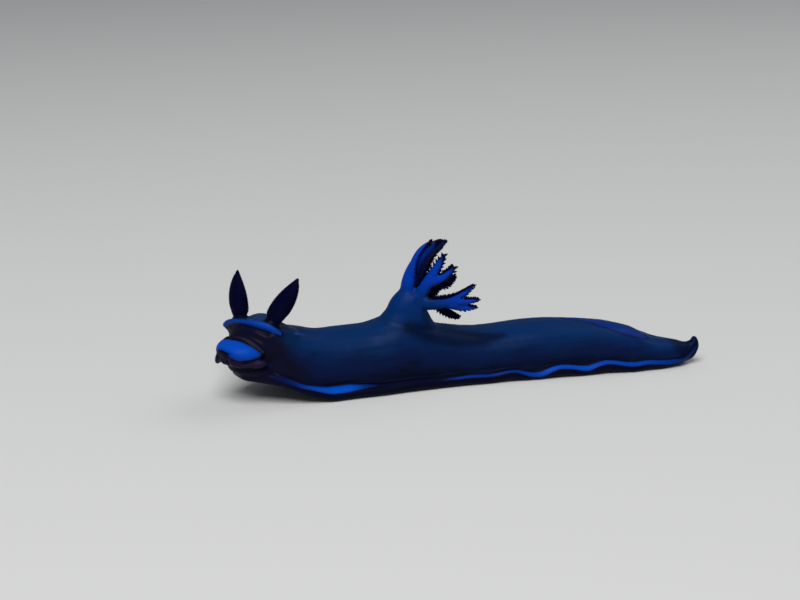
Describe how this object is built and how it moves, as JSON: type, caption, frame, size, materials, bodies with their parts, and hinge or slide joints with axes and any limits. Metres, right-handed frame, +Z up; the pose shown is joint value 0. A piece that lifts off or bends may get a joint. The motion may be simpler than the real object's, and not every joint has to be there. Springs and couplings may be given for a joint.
{
  "type": "gloomy nudibranch",
  "caption": "Life-size still model of a dark blue sea slug crawling on its foot, head raised and turned, with clubbed rhinophores and a plume of branched gills on its back.",
  "frame": {"origin": "on the ground under the middle of the model's box", "axes": "+Z up from the sole, +X towards the tail, -Y towards the animal's left side"},
  "size_m": [0.0636, 0.013, 0.0182],
  "materials": {
    "body_skin": "moist skin, blue black",
    "foot_skin": "moist skin, bright blue margin",
    "rhinophore_skin": "moist skin, purple black",
    "gill_skin": "moist skin, deep blue with black pinnules"
  },
  "bodies": {
    "root": {"head": "body_skin", "neck": "body_skin", "body_front": "body_skin", "body_rear": "body_skin", "tail": "body_skin", "foot_front": "foot_skin", "foot_middle": "foot_skin", "foot_rear": "foot_skin", "oral_tentacle_left": "body_skin", "oral_tentacle_right": "body_skin", "rhinophore_left": "rhinophore_skin", "rhinophore_right": "rhinophore_skin", "anal_papilla": "body_skin", "gill_stalk": "gill_skin", "gill_front": "gill_skin", "gill_left_fore": "gill_skin", "gill_right_fore": "gill_skin", "gill_left_rear": "gill_skin", "gill_right_rear": "gill_skin"}
  },
  "joints": []
}
